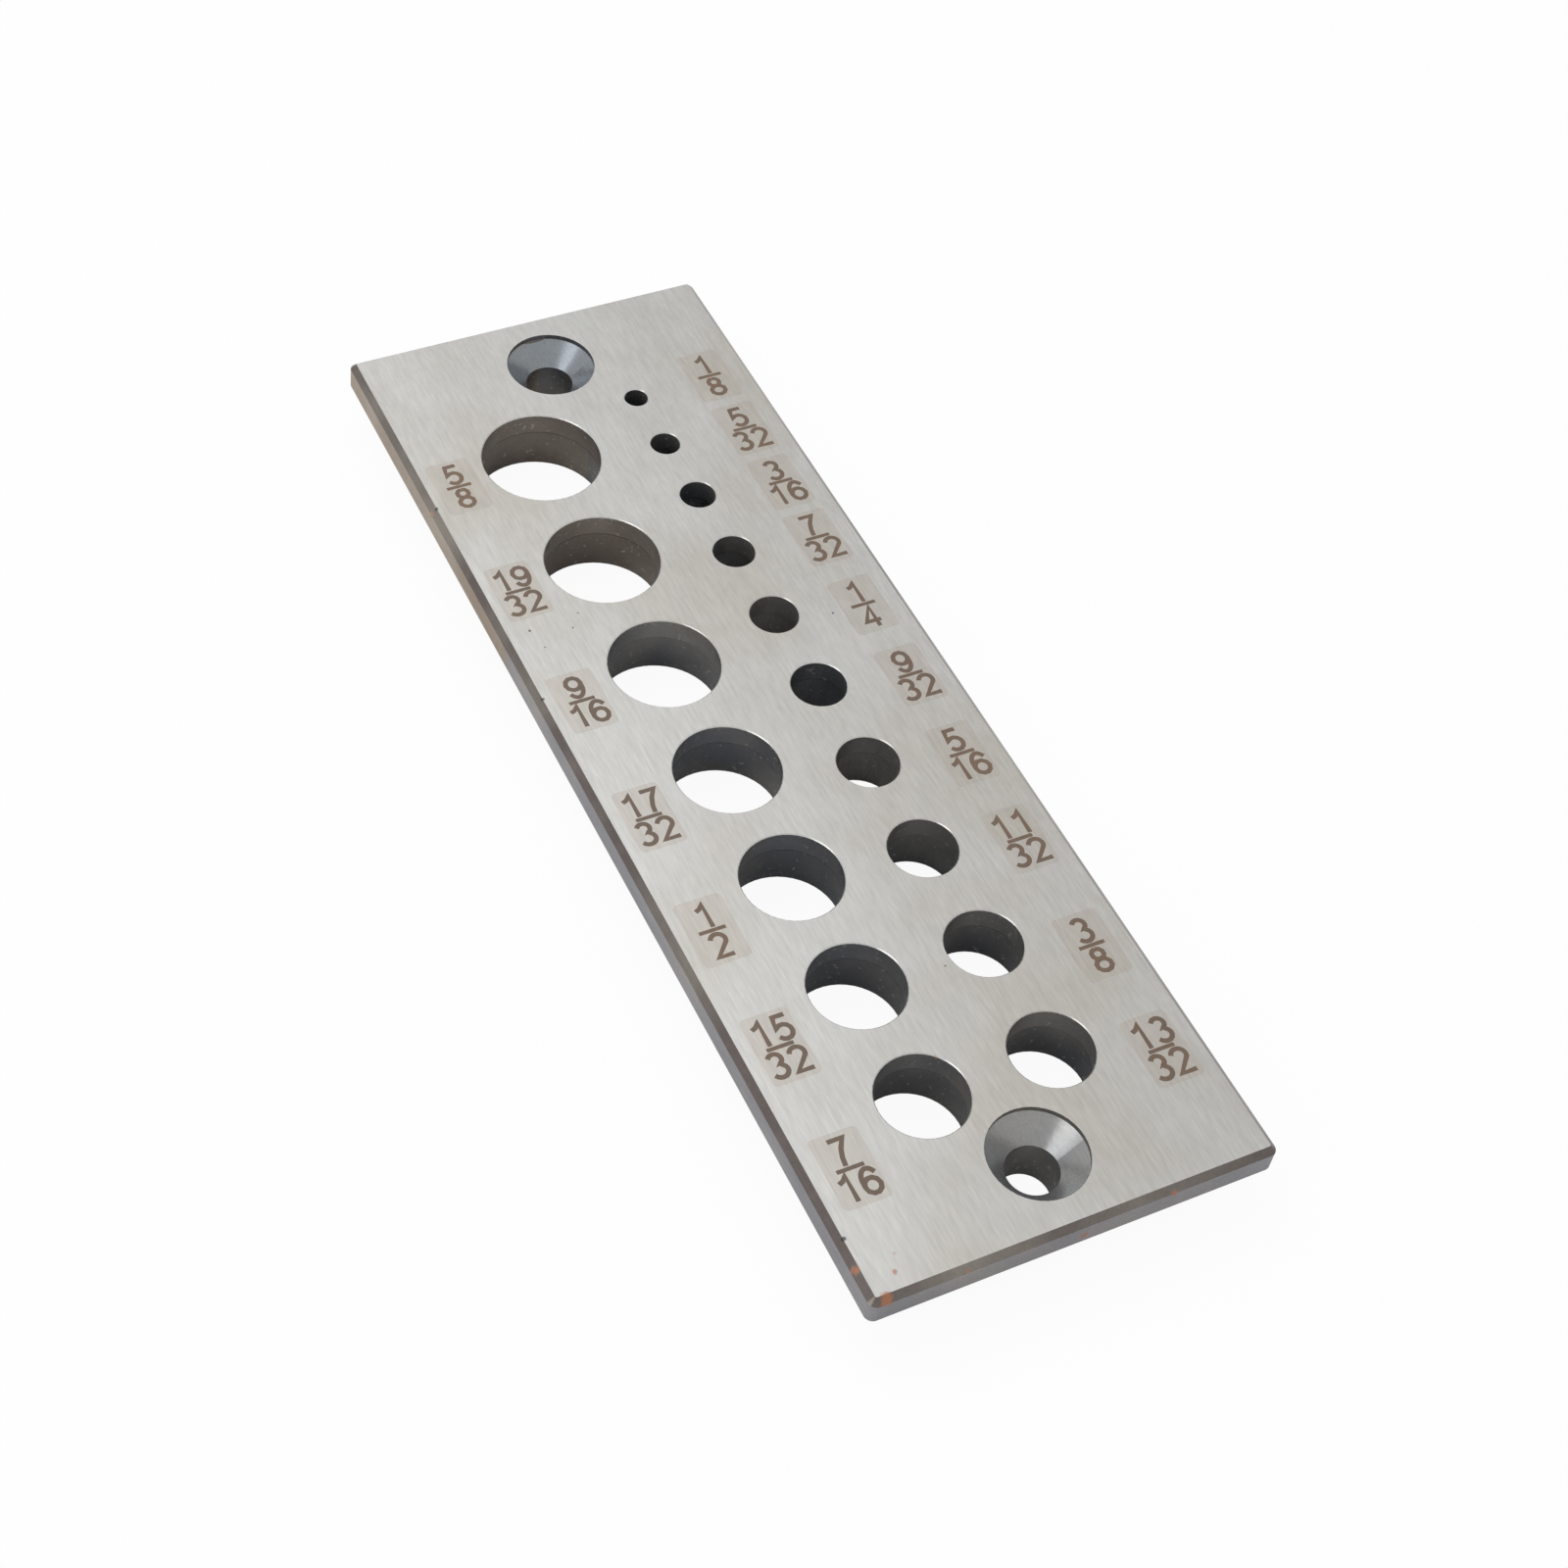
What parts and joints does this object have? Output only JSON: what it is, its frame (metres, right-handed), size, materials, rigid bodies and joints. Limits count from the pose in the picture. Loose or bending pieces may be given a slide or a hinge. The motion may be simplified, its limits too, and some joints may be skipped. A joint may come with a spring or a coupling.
{
  "type": "dowel plate",
  "caption": "Flat bar of ground tool steel with two columns of graded stepped holes for driving round wooden pegs, and a countersunk screw hole at each end.",
  "frame": {"origin": "middle of the underside", "axes": "+X to the right across the plate, +Y along the plate to the end with the smallest and the largest hole, +Z out of the working face"},
  "size_m": [0.0516, 0.1544, 0.0095],
  "materials": {
    "ground_steel": "ground"
  },
  "bodies": {
    "root": {"plate": "ground_steel"}
  },
  "joints": []
}
